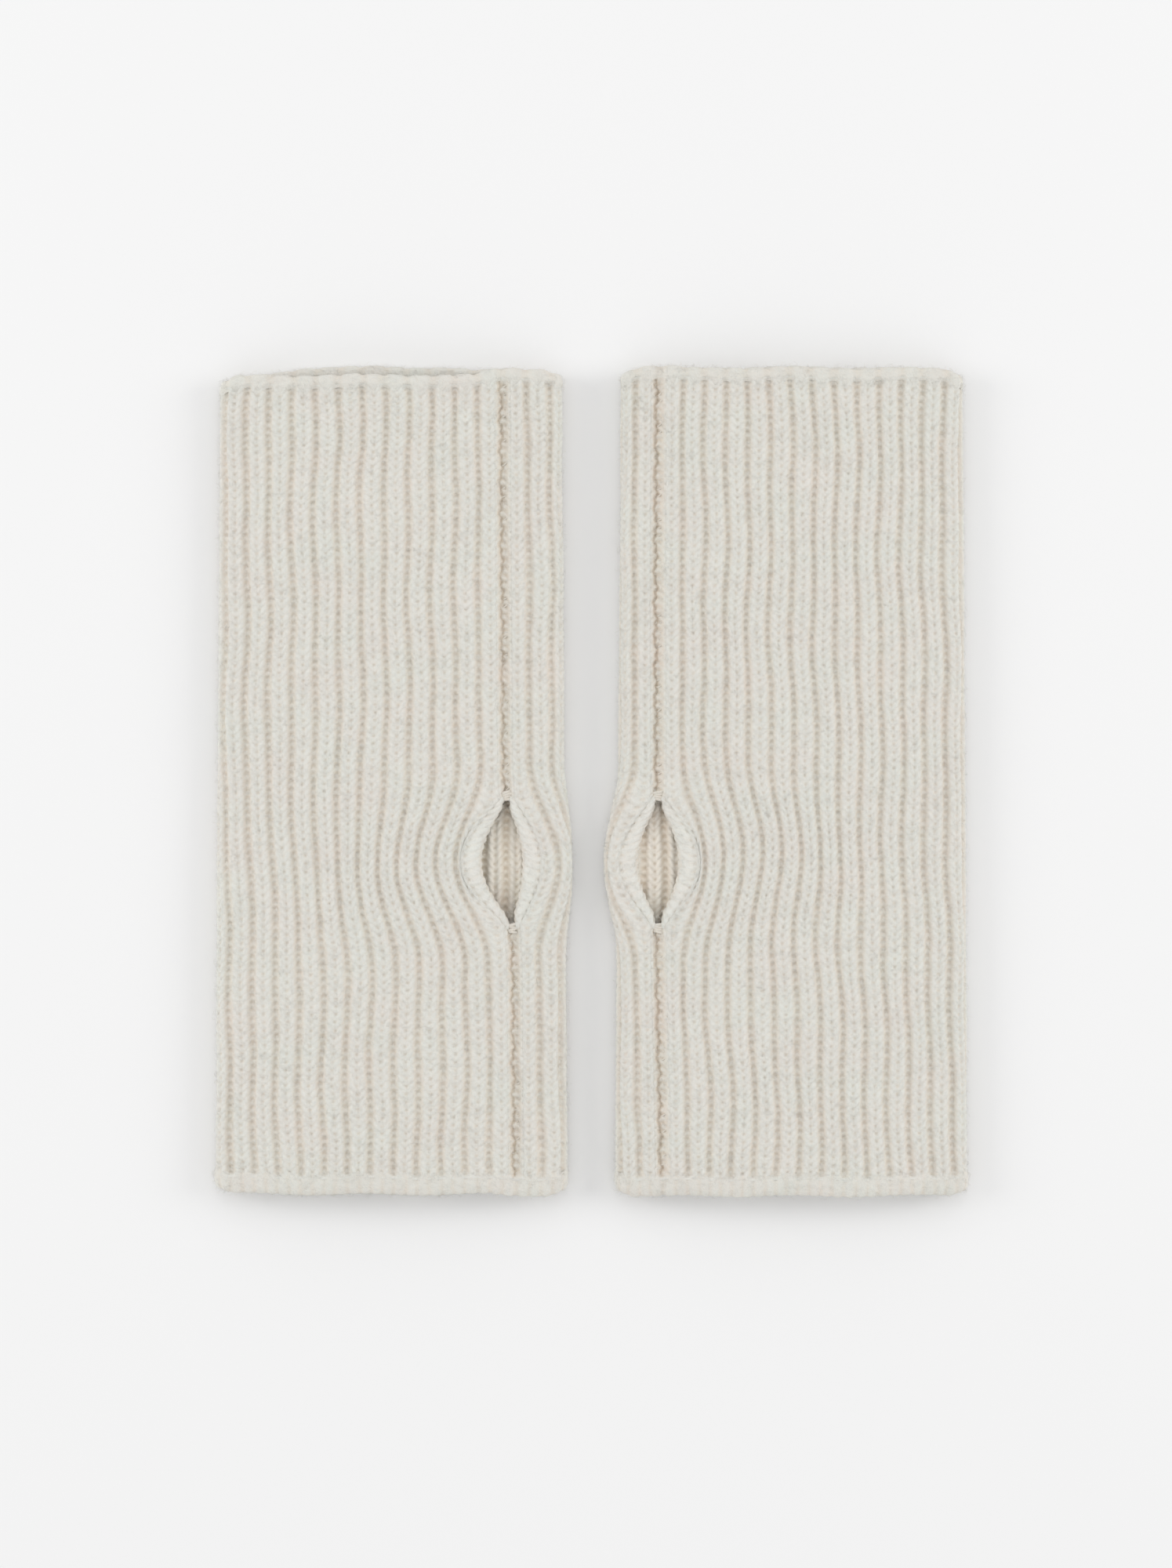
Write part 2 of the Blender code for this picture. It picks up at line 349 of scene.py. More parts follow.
def knitted(made, tree, material, **sizes):
    """Runs a node tree on an object, and leaves the result as a plain mesh of that material."""
    modifier = made.modifiers.new("knitting", "NODES")
    sockets = {i.name: i.identifier for i in tree.interface.items_tree if i.in_out == "INPUT"}
    modifier.node_group = tree
    for key, value in {"material": material, **sizes}.items():
        modifier[sockets[key]] = value
    graph = bpy.context.evaluated_depsgraph_get()
    mesh = bpy.data.meshes.new_from_object(made.evaluated_get(graph))
    mesh.name = made.name
    made.modifiers.clear()
    made.data = mesh
    return made


# Node trees


class Field:
    """A socket that arithmetic can be written with, in a geometry or a shader tree."""

    def __init__(self, tree, socket):
        self.tree, self.socket = tree, socket

    def combine(self, operation, *operands):
        node = self.tree.nodes.new("ShaderNodeMath")
        node.operation = operation
        for socket, operand in zip(node.inputs, (self, *operands), strict=False):
            put(self.tree, socket, operand)
        return Field(self.tree, node.outputs[0])

    def __add__(self, other):
        return self.combine("ADD", other)

    def __sub__(self, other):
        return self.combine("SUBTRACT", other)

    def __rsub__(self, other):
        return self.combine("MULTIPLY", -1.0).combine("ADD", other)

    def __mul__(self, other):
        return self.combine("MULTIPLY", other)

    __radd__, __rmul__ = __add__, __mul__

    def __truediv__(self, other):
        return self.combine("DIVIDE", other)

    def power(self, exponent):
        return self.combine("POWER", exponent)

    def ease(self, low, high):
        """0 below low and 1 above high, with a smooth step between; low may be the higher one."""
        node = self.tree.nodes.new("ShaderNodeMapRange")
        node.interpolation_type = "SMOOTHSTEP"
        for key, value in (("Value", self), ("From Min", low), ("From Max", high)):
            put(self.tree, node.inputs[key], value)
        return Field(self.tree, node.outputs["Result"])

    def hump(self, middle, reach):
        """A smooth bump of height 1 that falls to 0 at reach from middle."""
        return (self - middle).combine("ABSOLUTE").ease(reach, 0.0)


def put(tree, socket, value):
    if isinstance(value, Field):
        tree.links.new(value.socket, socket)
    elif isinstance(value, bpy.types.NodeSocket):
        tree.links.new(value, socket)
    else:
        socket.default_value = value


SOCKET_TYPES = {float: "NodeSocketFloat", int: "NodeSocketInt", bpy.types.Object: "NodeSocketObject"}


def geometry_tree(name, **inputs):
    """A geometry node tree that takes a mesh, a material and the named inputs. Returns it and its sockets."""
    tree = bpy.data.node_groups.new(name, "GeometryNodeTree")
    tree.interface.new_socket("mesh", in_out="OUTPUT", socket_type="NodeSocketGeometry")
    tree.interface.new_socket("mesh", in_out="INPUT", socket_type="NodeSocketGeometry")
    tree.interface.new_socket("material", in_out="INPUT", socket_type="NodeSocketMaterial")
    for key, kind in inputs.items():
        socket_type = SOCKET_TYPES[kind]
        tree.interface.new_socket(key, in_out="INPUT", socket_type=socket_type)
    return tree, tree.nodes.new("NodeGroupInput").outputs


def node(tree, kind, settings=None, **inputs):
    made = tree.nodes.new(kind)
    for key, value in (settings or {}).items():
        setattr(made, key, value)
    for key, value in inputs.items():
        put(tree, made.inputs[key.replace("_", " ")], value)
    return made


def attribute(tree, name, kind="FLOAT"):
    read = node(tree, "GeometryNodeInputNamedAttribute", {"data_type": kind}, Name=name)
    return Field(tree, read.outputs["Attribute"])


def store(tree, mesh, name, value, kind="FLOAT"):
    made = tree.nodes.new("GeometryNodeStoreNamedAttribute")
    made.data_type, made.domain = kind, "POINT"
    put(tree, made.inputs["Geometry"], mesh)
    made.inputs["Name"].default_value = name
    put(tree, made.inputs["Value"], value)
    return made.outputs["Geometry"]


def vector(tree, x=0.0, y=0.0, z=0.0):
    kind = "ShaderNodeCombineXYZ"
    return node(tree, kind, X=x, Y=y, Z=z).outputs["Vector"]


def noise(tree, scale, detail=2.0, at=None):
    """Noise from about -1 to 1."""
    made = node(tree, "ShaderNodeTexNoise", Scale=scale, Detail=detail)
    if at is not None:
        put(tree, made.inputs["Vector"], at)
    return (Field(tree, made.outputs[0]) - 0.5) * 2.0


def finely(tree, place):
    """The place, scaled up so that one unit is about a yarn's width."""
    scaled = node(tree, "ShaderNodeVectorMath", {"operation": "SCALE"})
    put(tree, scaled.inputs[0], place)
    scaled.inputs["Scale"].default_value = 900.0
    return scaled.outputs[0]


def raise_along_out(tree, mesh, height):
    scaled = node(tree, "ShaderNodeVectorMath", {"operation": "SCALE"})
    put(tree, scaled.inputs[0], attribute(tree, "out", "FLOAT_VECTOR"))
    put(tree, scaled.inputs["Scale"], height)
    moved = node(tree, "GeometryNodeSetPosition", Geometry=mesh, Offset=scaled.outputs["Vector"])
    return moved.outputs["Geometry"]


def end_tree(tree, mesh, material):
    real = node(tree, "GeometryNodeRealizeInstances", Geometry=mesh)
    smoothed = node(tree, "GeometryNodeSetShadeSmooth", Geometry=real.outputs["Geometry"])
    painted = node(tree, "GeometryNodeSetMaterial", Geometry=smoothed.outputs[0], Material=material)
    tree.links.new(painted.outputs["Geometry"], tree.nodes.new("NodeGroupOutput").inputs[0])
    return tree


def rib_knit_tree():
    """Presses one-by-one ribbing into a smooth sheet.

    A rib is one column of V-shaped stitches, two legs leaning together with a pit where they meet. A
    furrow is one column of purl bumps. Where `gather` is 1 the fabric is drawn down by a seam, and where
    `plain` is 1 it is smooth. The tree also stores a painted shade for the wool's colour, darkest in the
    furrows, pits, creases and the seam's drawn-down line and a little lighter on the purl bumps, and which
    way its yarn runs, for the wool's streaks and fibres.
    """
    sizes = ("rib_depth", "leg_height", "crease_depth", "bead_height", "pit_depth")
    tree, given = geometry_tree("rib_knit", **dict.fromkeys(sizes, float))
    rib, course, flat = (attribute(tree, key) for key in ("rib", "course", "plain"))
    gather = attribute(tree, "gather")
    sway = node(tree, "GeometryNodeInputPosition").outputs[0]
    rib = rib + noise(tree, 150.0, at=sway) * 0.055 + noise(tree, 420.0, at=sway) * 0.04
    course = course + noise(tree, 190.0, 3.0, at=sway) * 0.30
    uneven = noise(tree, 330.0, 2.0, at=sway)
    side = (rib.combine("FRACT") - 0.5) * 2.0
    apart = side.combine("ABSOLUTE")

    furrow = apart.ease(0.57, 0.93)
    leg = apart.hump(0.38, 0.42)
    slanted = (course - apart * 1.3).combine("FRACT")
    crease = (slanted - 0.5).combine("ABSOLUTE").ease(0.26, 0.5) * apart.ease(0.04, 0.26) * (1 - furrow)
    deeper = (uneven * 0.9 + 0.8).ease(0.0, 1.0)
    pit = (course.combine("FRACT") - 0.5).combine("ABSOLUTE").ease(0.20, 0.50)
    pit = pit * apart.ease(0.26, 0.04) * (0.35 + 0.65 * deeper) + apart.ease(0.24, 0.0) * 0.30
    beads = (course + (1 - apart) * 0.7 + uneven * 0.22 + 0.5).combine("FRACT")
    bead = (beads - 0.5).combine("ABSOLUTE").ease(0.5, 0.10) * furrow
    lumps = noise(tree, 1100.0, 3.0, at=sway) * 0.00013 + noise(tree, 300.0, at=sway) * 0.00014

    carved = furrow * given["rib_depth"] + crease * given["crease_depth"] + pit * given["pit_depth"]
    raised = leg * given["leg_height"] + bead * given["bead_height"] - gather * 0.00065
    height = (raised - carved - given["leg_height"]) * (1 - flat) + lumps - 0.00008
    mesh = raise_along_out(tree, given["mesh"], height)

    # Painted shade: the furrows, the pits, the creases between the legs and the seam's drawn-down line are
    # darkened towards the warm furrow colour, as if in shade, and the purl bumps a little less so.
    shade = apart.ease(0.46, 0.88) * (1 - bead * 0.5) * 0.88 + pit * 0.6 + crease * 0.28 + gather * 0.8
    mesh = store(tree, mesh, "painted_shade", shade * (1 - flat))
    along_yarn = vector(tree, x=apart * 3.0, y=(course - apart * 1.3) * 2.0)
    mesh = store(tree, mesh, "yarn", along_yarn, "FLOAT_VECTOR")
    return end_tree(tree, mesh, given["material"])


def rolled_edge_tree():
    """Swells a smooth roll into loops, one to each count of `loop`, strongest where `side` is 1."""
    tree, given = geometry_tree("rolled_edge", loop_height=float, lump_height=float)
    place = node(tree, "GeometryNodeInputPosition").outputs[0]
    loop = attribute(tree, "loop") + noise(tree, 170.0, at=place) * 0.30
    strength = attribute(tree, "side").ease(0.25, 1.0)
    gap = (loop.combine("FRACT") - 0.5).combine("ABSOLUTE").ease(0.18, 0.5)
    uneven = noise(tree, 260.0, 2.0, at=place) * 0.5 + 0.9
    lumps = noise(tree, 380.0, 3.0, at=place) + noise(tree, 1100.0, 3.0, at=place) * 0.6
    height = lumps * given["lump_height"] - gap * strength * uneven * given["loop_height"]
    mesh = raise_along_out(tree, given["mesh"], height)
    # Painted shade: the gaps between the loops and the hollows between lumps are darkened towards the furrow
    # colour, and the whole roll a little.
    shade = gap * strength * 0.5 + (lumps * -0.5).ease(0.0, 1.0) * 0.25 + 0.1
    mesh = store(tree, mesh, "painted_shade", shade)
    mesh = store(tree, mesh, "yarn", finely(tree, place), "FLOAT_VECTOR")
    return end_tree(tree, mesh, given["material"])


def yarn_tree():
    """Gives a line of points a round yarn, for the linking stitches and the tacks."""
    tree, given = geometry_tree("yarn", radius=float)
    curve = node(tree, "GeometryNodeMeshToCurve", Mesh=given["mesh"]).outputs[0]
    spline = node(tree, "GeometryNodeCurveSplineType", {"spline_type": "CATMULL_ROM"}, Curve=curve)
    fine = node(tree, "GeometryNodeSetSplineResolution", Geometry=spline.outputs[0], Resolution=3)
    thick = noise(tree, 700.0) * 0.25 + 1.0
    ring = node(tree, "GeometryNodeCurvePrimitiveCircle", Resolution=6, Radius=given["radius"])
    sized = node(tree, "GeometryNodeSetCurveRadius", Curve=fine.outputs[0], Radius=thick)
    tube = node(
        tree,
        "GeometryNodeCurveToMesh",
        Curve=sized.outputs[0],
        Profile_Curve=ring.outputs[0],
        Fill_Caps=True,
    )
    # Painted shade: the yarn is coloured about halfway to the furrow colour, as if lying in the seam's shade.
    mesh = store(tree, tube.outputs[0], "painted_shade", noise(tree, 500.0) * 0.15 + 0.55)
    place = node(tree, "GeometryNodeInputPosition").outputs[0]
    mesh = store(tree, mesh, "yarn", finely(tree, place), "FLOAT_VECTOR")
    return end_tree(tree, mesh, given["material"])


def stray_fibre_tree():
    """Scatters copies of one fibre over a surface's upper side, none of them reaching below the table."""
    tree, given = geometry_tree(
        "stray_fibres", fibre=bpy.types.Object, fibres_per_area=float, length=float, seed=int
    )
    spread = node(
        tree,
        "GeometryNodeDistributePointsOnFaces",
        Mesh=given["mesh"],
        Density=given["fibres_per_area"],
        Seed=given["seed"],
    )
    facing = node(tree, "GeometryNodeInputNormal").outputs[0]
    upward = Field(tree, node(tree, "ShaderNodeSeparateXYZ", Vector=facing).outputs["Z"])
    put(tree, spread.inputs["Selection"], upward.combine("GREATER_THAN", -0.3))
    turn = node(tree, "FunctionNodeRandomValue", {"data_type": "FLOAT_VECTOR"}, Seed=given["seed"])
    turn.inputs["Min"].default_value = (-0.4, -0.4, -math.pi)
    turn.inputs["Max"].default_value = (0.4, 0.4, math.pi)
    local = {"rotation_space": "LOCAL"}
    turned = node(tree, "FunctionNodeRotateRotation", local, Rotation=spread.outputs["Rotation"])
    put(tree, turned.inputs["Rotate By"], turn.outputs[0])
    size = node(tree, "FunctionNodeRandomValue", {"data_type": "FLOAT"}, Seed=given["seed"])
    for key, value in (("Min", 0.5), ("Max", 1.5)):
        next(s for s in size.inputs if s.name == key and s.type == "VALUE").default_value = value
    sizes = next(s for s in size.outputs if s.type == "VALUE")
    scaled = Field(tree, sizes) * given["length"]
    copies = node(
        tree,
        "GeometryNodeInstanceOnPoints",
        Points=spread.outputs["Points"],
        Instance=node(tree, "GeometryNodeObjectInfo", Object=given["fibre"]).outputs["Geometry"],
        Rotation=turned.outputs[0],
        Scale=vector(tree, scaled, scaled, scaled),
    )
    real = node(tree, "GeometryNodeRealizeInstances", Geometry=copies.outputs[0]).outputs[0]
    place = node(tree, "ShaderNodeSeparateXYZ", Vector=node(tree, "GeometryNodeInputPosition").outputs[0])
    x, y, z = (Field(tree, place.outputs[axis]) for axis in "XYZ")
    above = node(tree, "GeometryNodeSetPosition", Geometry=real)
    put(tree, above.inputs["Position"], vector(tree, x, y, z.combine("MAXIMUM", 0.0)))
    return end_tree(tree, above.outputs[0], given["material"])


def one_fibre():
    """A bent, three-sided spindle of length 1, rooted just under the surface."""
    thickness = 0.022
    ring = [
        (0.48, 0.10 + thickness * math.cos(a), 0.30 + thickness * math.sin(a))
        for a in (0.0, 2 * math.pi / 3, 4 * math.pi / 3)
    ]
    mesh = bpy.data.meshes.new("one_fibre")
    sides = [(0, 2, 1), (0, 3, 2), (0, 1, 3), (4, 1, 2), (4, 2, 3), (4, 3, 1)]
    mesh.from_pydata([(0.0, 0.0, -0.06), *ring, (1.0, 0.0, 0.16)], [], sides)
    return bpy.data.objects.new("one_fibre", mesh)


# Materials


# The crest colour is the wool's own; the furrow colour is painted shade, the wool darker and warmer where it
# lies in furrows, gaps and creases.
CREST_COLOUR = (0.810, 0.802, 0.760, 1.0)
FURROW_SHADE_COLOUR = (0.788, 0.714, 0.622, 1.0)


def shader_tree(name):
    material = bpy.data.materials.new(name)
    material.use_nodes = True
    tree = material.node_tree
    return material, tree, tree.nodes["Principled BSDF"]


def mixed(tree, factor, first, second, blend="MIX"):
    made = node(tree, "ShaderNodeMix", {"data_type": "RGBA", "blend_type": blend})
    for socket, value in ((0, factor), (6, first), (7, second)):
        put(tree, made.inputs[socket], value)
    return made.outputs[2]


def wool(name, crest, furrow, bump_strength):
    """Brushed wool: pale on the ribs, with painted shade that makes it darker and warmer in the furrows, pits
    and creases, and with fine fibres along the yarn.
    """
    material, tree, shader = shader_tree(name)
    place = node(tree, "ShaderNodeTexCoord").outputs["Object"]
    painted_shade = Field(tree, node(tree, "ShaderNodeAttribute", {"attribute_name": "painted_shade"}).outputs["Fac"])
    yarn = node(tree, "ShaderNodeAttribute", {"attribute_name": "yarn"}).outputs["Vector"]
    streak_space = node(tree, "ShaderNodeMapping")
    put(tree, streak_space.inputs["Vector"], yarn)
    streak_space.inputs["Scale"].default_value = (5.0, 1.3, 1.0)
    streaks = noise(tree, 1.6, 4.0, at=streak_space.outputs[0])
    fluff = noise(tree, 2600.0, 3.0, at=place)
    tufts = noise(tree, 1150.0, 2.0, at=place)
    clouds = noise(tree, 95.0, 3.0, at=place)

    # The painted shade mixes the colour towards the furrow colour; the noises vary it at random.
    colour = mixed(tree, painted_shade + streaks * 0.10 + tufts * 0.26 + fluff * 0.12, crest, furrow)
    lighter = 1.0 + streaks * 0.035 + fluff * 0.04 + tufts * 0.03
    colour = mixed(tree, 1.0, colour, vector(tree, lighter, lighter, lighter), "MULTIPLY")
    tint = (clouds * 0.9 + 0.5).ease(0.0, 1.0)
    cool = mixed(tree, tint, (0.980, 1.0, 0.985, 1.0), (1.0, 0.980, 0.968, 1.0))
    colour = mixed(tree, 1.0, colour, cool, "MULTIPLY")
    tree.links.new(colour, shader.inputs["Base Color"])

    bump = node(tree, "ShaderNodeBump")
    bump.inputs["Strength"].default_value = bump_strength
    bump.inputs["Distance"].default_value = 0.00032
    put(tree, bump.inputs["Height"], streaks * 0.5 + fluff * 0.4 + tufts * 0.5)
    tree.links.new(bump.outputs["Normal"], shader.inputs["Normal"])
    shader.inputs["Roughness"].default_value = 0.95
    shader.inputs["Specular IOR Level"].default_value = 0.15
    shader.inputs["Sheen Weight"].default_value = 0.12
    shader.inputs["Sheen Roughness"].default_value = 0.6
    return material


def fibre_material():
    material, tree, shader = shader_tree("stray_wool_fibre")
    place = node(tree, "ShaderNodeTexCoord").outputs["Object"]
    shades = noise(tree, 300.0, 1.0, at=place) * 0.5 + 0.5
    colour = mixed(tree, shades, (0.79, 0.77, 0.72, 1.0), (0.86, 0.85, 0.82, 1.0))
    tree.links.new(colour, shader.inputs["Base Color"])
    shader.inputs["Roughness"].default_value = 0.8
    shader.inputs["Specular IOR Level"].default_value = 0.2
    return material


# Pieces


def course_count(ys):
    return (np.asarray(ys) - FIRST_COURSE_Y) / COURSE_HEIGHT


def between(low, high, steps_per_count):
    """Evenly spaced values from low to high."""
    return np.linspace(low, high, round((high - low) * steps_per_count) + 1)


def course_rows(first, last, steps):
    return FIRST_COURSE_Y + COURSE_HEIGHT * between(first, last, steps)


def graded(low, high, fine_low, fine_high, coarse, fine):
    """Values from low to high, closer together between fine_low and fine_high."""
    fine_low, fine_high = (min(max(v, low), high) for v in (fine_low, fine_high))
    stretches = ((low, fine_low, coarse), (fine_low, fine_high, fine), (fine_high, high, coarse))
    values = [between(a, b, steps)[:-1] for a, b, steps in stretches if b > a]
    return np.concatenate([*values, [high]])


def plain_share(ys):
    """The ribbing flattens out where it meets the rolled finger edge and the bound-off arm edge."""
    ys = np.asarray(ys)
    by_arm, by_fingers = ys - LAST_COURSE_Y + 0.0012, FIRST_COURSE_Y + 0.0016 - ys
    return smooth(by_arm / 0.0012) + smooth(by_fingers / 0.0013)


def knit_strip(glove, name, ribs, ys, tree, material, **sizes):
    """A strip of the panel's outer face. Its edge beside the seam and the opening tucks down out of sight."""
    points, outs = fabric(glove, ribs, ys)
    for lip, beside_seam in ((0, ribs[0] == LIP_RIB), (-1, ribs[-1] == glove.ribs - LIP_RIB)):
        if beside_seam:
            outs[:, lip] = (0, 0, 1)
            points[:, lip, 2] -= LIP_TUCK
    made = grid_object(
        f"{glove.name}_{name}",
        points,
        outs,
        rib=ribs[None, :],
        course=course_count(ys)[:, None],
        plain=plain_share(ys)[:, None],
    )
    return knitted(made, tree, material, **sizes)


def inside_face(glove, name, first, last, tree, material, **sizes):
    """The tube's inner face, whose ribs are the backs of the outside's furrows.

    It is drawn finer where it shows through the thumb opening, and the fabric below swells up to it.
    """
    pitch = 2 * FINGER_WIDTH / glove.ribs
    below = (2 * glove.seam_inset + np.pi * FOLD_RADIUS - SEAM_WIDTH / 2) / pitch
    ribs = graded(LIP_RIB, glove.ribs - LIP_RIB, below - 2, below + 2, INSIDE_STEPS, FINE_STEPS)
    slit = (course_count(SLIT_LOW_Y), course_count(SLIT_HIGH_Y))
    courses = graded(first, last, *slit, INSIDE_COURSE_STEPS, COURSE_STEPS)
    ys = FIRST_COURSE_Y + COURSE_HEIGHT * courses
    points, outs = fabric(glove, ribs, ys, inset=KNIT)
    across = glove.inward * points[:, :, 0] + GLOVE_MIDDLE_X
    beside = np.abs(across - seam_across(glove, ys)[:, None])
    lift = INSIDE_LIFT * swell(ys, INSIDE_RUNOUT)[:, None] * smooth((INSIDE_REACH - beside) / INSIDE_FALL)
    points[:, :, 2] += lift * smooth(-outs[:, :, 2] * 2 - 0.5)
    made = grid_object(
        f"{glove.name}_{name}",
        points,
        -outs,
        rib=ribs[None, :] + 0.5,
        course=courses[:, None],
        plain=0.0,
    )
    return knitted(made, tree, material, **sizes)


def end_roll(glove, name, y_in, y_out, loops_per_rib, loop_height, tree, material):
    """A finished end of the tube: the fabric rounded over from its outer face to its inner one."""
    ribs = np.linspace(LIP_RIB, glove.ribs - LIP_RIB, glove.ribs * 12 + 1)
    middle, outs_at_middle = (grid[0] for grid in fabric(glove, ribs, [y_out], inset=KNIT / 2))
    share = np.linspace(0, 1, 12)[1:-1, None]
    seam = middle[-1] + (middle[0] - middle[-1]) * share
    seam[:, 2] -= 0.0004 * np.sin(np.pi * share[:, 0])
    middle = np.concatenate([middle, seam])
    over_seam = outs_at_middle[-1] * (1 - share) + outs_at_middle[0] * share
    outs_at_middle = np.concatenate([outs_at_middle, over_seam])
    counts = np.concatenate([ribs, glove.ribs - LIP_RIB + 2 * LIP_RIB * share[:, 0]])

    reach, angle = y_out - y_in, np.pi * np.linspace(-0.12, 1.12, 32)
    rows, outs = [], []
    for turn in angle:
        height = math.cos(turn) * KNIT / 2 * 1.03
        forward = -reach + reach * max(0.0, math.sin(turn)) ** 0.7
        if not 0 < turn < math.pi:
            sunk = min(abs(turn), abs(turn - math.pi)) / (0.12 * math.pi)
            forward = -reach - math.copysign(0.0011 * sunk, reach)
            height = math.copysign(KNIT / 2 * (1.03 - 0.40 * sunk), height)
        point = middle + outs_at_middle * height
        feet = 0.0005 * np.cos(2 * np.pi * counts) * (1 - max(0.0, math.sin(turn)))
        point[:, 1] += forward + math.copysign(1.0, reach) * feet
        out = outs_at_middle * math.cos(turn)
        out[:, 1] = math.copysign(max(0.0, math.sin(turn)), reach)
        rows.append(point)
        outs.append(out)
    points, outs = np.array(rows), np.array(outs)
    made = grid_object(
        f"{glove.name}_{name}",
        points,
        outs,
        wraps=True,
        loop=counts[None, :] * loops_per_rib,
        side=0.65 + 0.35 * np.clip(np.sin(angle), 0, 1)[:, None],
    )
    return knitted(made, tree, material, loop_height=loop_height, lump_height=EDGE_LUMPS)


def thumb_roll(glove, name, side, tree, material, **sizes):
    """The turned edge on one side of the thumb opening; side is +1 towards the thumb-side fold.

    It is one more rib. Its outer half lies flush with the panel, its inner half rounds down into the
    opening, where the purl bumps of the next furrow show as small loops, and both ends sink into the seam.
    """
    half = SLIT_LENGTH / 2 + ROLL_RUNOUT
    ys = SLIT_MIDDLE_Y + np.linspace(-half, half, 190)
    turns = np.linspace(0, 2 * np.pi, 57)[:-1]
    opened = smooth(along_slit(ys) / 0.3)
    ending = smooth((half - np.abs(ys - SLIT_MIDDLE_Y)) / ROLL_RUNOUT)
    inner, outer = slit_half_width(ys) - ROLL_SWELL * opened, lip_distance(ys) + ROLL_LAP
    middle = seam_across(glove, ys) + side * (inner + outer) / 2
    outward, upward = np.cos(turns), np.sin(turns)
    boxed = np.where(outward > 0, 0.55, 0.9)
    squared = np.sign(outward) * np.abs(outward) ** boxed
    lifted = np.sign(upward) * np.abs(upward) ** boxed
    lifted = np.where((outward > 0) & (upward >= 0), 1 - 0.32 * outward**2, lifted)
    across = middle[:, None] + side * (outer - inner)[:, None] / 2 * squared
    rise = KNIT / 2 + 0.0001
    droop = 0.0003 * np.clip(-outward, 0, 1) + 0.0013 * (1 - ending[:, None])
    height = top_height(glove, across, ys[:, None]) - KNIT / 2 - droop + rise * lifted
    outs = np.zeros((len(ys), len(turns), 3))
    outs[:, :, 0], outs[:, :, 2] = glove.inward * side * outward, upward
    points = np.stack(
        [glove.inward * (across - GLOVE_MIDDLE_X), np.broadcast_to(ys[:, None], across.shape), height], -1
    )
    made = grid_object(
        f"{glove.name}_{name}",
        points,
        outs,
        wraps=True,
        rib=-side * (LIP_RIB + (1 - LIP_RIB) * turns[None, :] / np.pi),
        course=course_count(ys)[:, None],
        plain=0.15,
    )
    return knitted(made, tree, material, **sizes)


def seam_gutter(glove, name, ys, tree, material, **sizes):
    """The seam's furrow, drawn down along one wandering line. It reaches a little under both panel edges."""
    steps = np.linspace(-1.4, 1.4, 37)
    hidden = np.clip(np.abs(steps) - 1, 0, None)
    ending = smooth((ys - ys[0]) / GUTTER_END_RUNOUT) * smooth((ys[-1] - ys) / GUTTER_END_RUNOUT)
    across = seam_across(glove, ys)[:, None] + steps * SEAM_WIDTH / 2
    sunk = 0.00005 + GUTTER_TUCK * hidden + GUTTER_END_SINK * (1 - ending[:, None])
    top = top_height(glove, across, ys[:, None]) - sunk
    y = ys[:, None] + end_shift(glove, across, top, ys[:, None])
    points = np.stack([glove.inward * (across - GLOVE_MIDDLE_X), y, top], -1)
    outs = np.zeros_like(points)
    outs[:, :, 2] = 1.0
    wander = 0.20 * np.sin(ys * 760 + glove.seed) + 0.13 * np.sin(ys * 2370 + 2 * glove.seed)
    line = glove.inward * (wander - 0.35)
    made = grid_object(
        f"{glove.name}_{name}",
        points,
        outs,
        rib=LIP_RIB * np.clip(steps, -1, 1)[None, :],
        course=course_count(ys)[:, None],
        plain=plain_share(ys)[:, None],
        gather=np.exp(-(((steps - line[:, None]) / 0.20) ** 2)),
    )
    return knitted(made, tree, material, **sizes)


def line_object(name, lines):
    """An object of open lines through the given points."""
    points, edges = [], []
    for line in lines:
        edges += [(len(points) + i, len(points) + i + 1) for i in range(len(line) - 1)]
        points += [tuple(p) for p in line]
    mesh = bpy.data.meshes.new(name)
    mesh.from_pydata(points, edges, [])
    made = bpy.data.objects.new(name, mesh)
    bpy.context.scene.collection.objects.link(made)
    return made


def linking_stitches(glove, name, low, high, tree, material):
    """The halved stitches beside the seam: short bars across its furrow, at most one to a course."""
    random = np.random.default_rng(glove.seed + len(name))
    bars = []
    for y in np.arange(low, high, COURSE_HEIGHT):
        if random.uniform() < 0.35:
            continue
        start, reach, slant = random.uniform((-0.0004, 0.0010, 0.1), (0.0003, 0.0018, 0.8))
        along = np.linspace(0, 1, 5)
        ys = y + random.uniform(-0.0003, 0.0003) + along * reach * slant
        across = seam_across(glove, ys) + glove.inward * (start + along * reach)
        arch = 0.00030 * np.sin(np.pi * along) - 0.00030
        z = top_height(glove, across, ys) - RIB_DEPTH - 0.0001 + arch
        y_at = ys + end_shift(glove, across, z, ys)
        bars.append(np.stack([glove.inward * (across - GLOVE_MIDDLE_X), y_at, z], 1))
    return knitted(line_object(f"{glove.name}_{name}", bars), tree, material, radius=LINKING_RADIUS)


def tack(glove, name, y, tree, material):
    """A few crossing strands that hold one end of the opening."""
    random = np.random.default_rng(glove.seed + len(name) + 40)
    lines = []
    for i in range(4):
        tilt = random.uniform(0.0003, 0.0009) * random.choice([-1, 1])
        ys = y + (i - 1.5) * 0.0006 + np.linspace(-0.5, 0.5, 5) * tilt
        across = seam_across(glove, ys) + np.linspace(-1, 1, 5) * SEAM_WIDTH * random.uniform(0.32, 0.46)
        sunk = 0.0007 + 0.0008 * np.abs(np.linspace(-1, 1, 5)) ** 3
        z = top_height(glove, across, ys) - sunk
        lines.append(np.stack([glove.inward * (across - GLOVE_MIDDLE_X), ys, z], 1))
    return knitted(line_object(f"{glove.name}_{name}", lines), tree, material, radius=TACK_RADIUS)


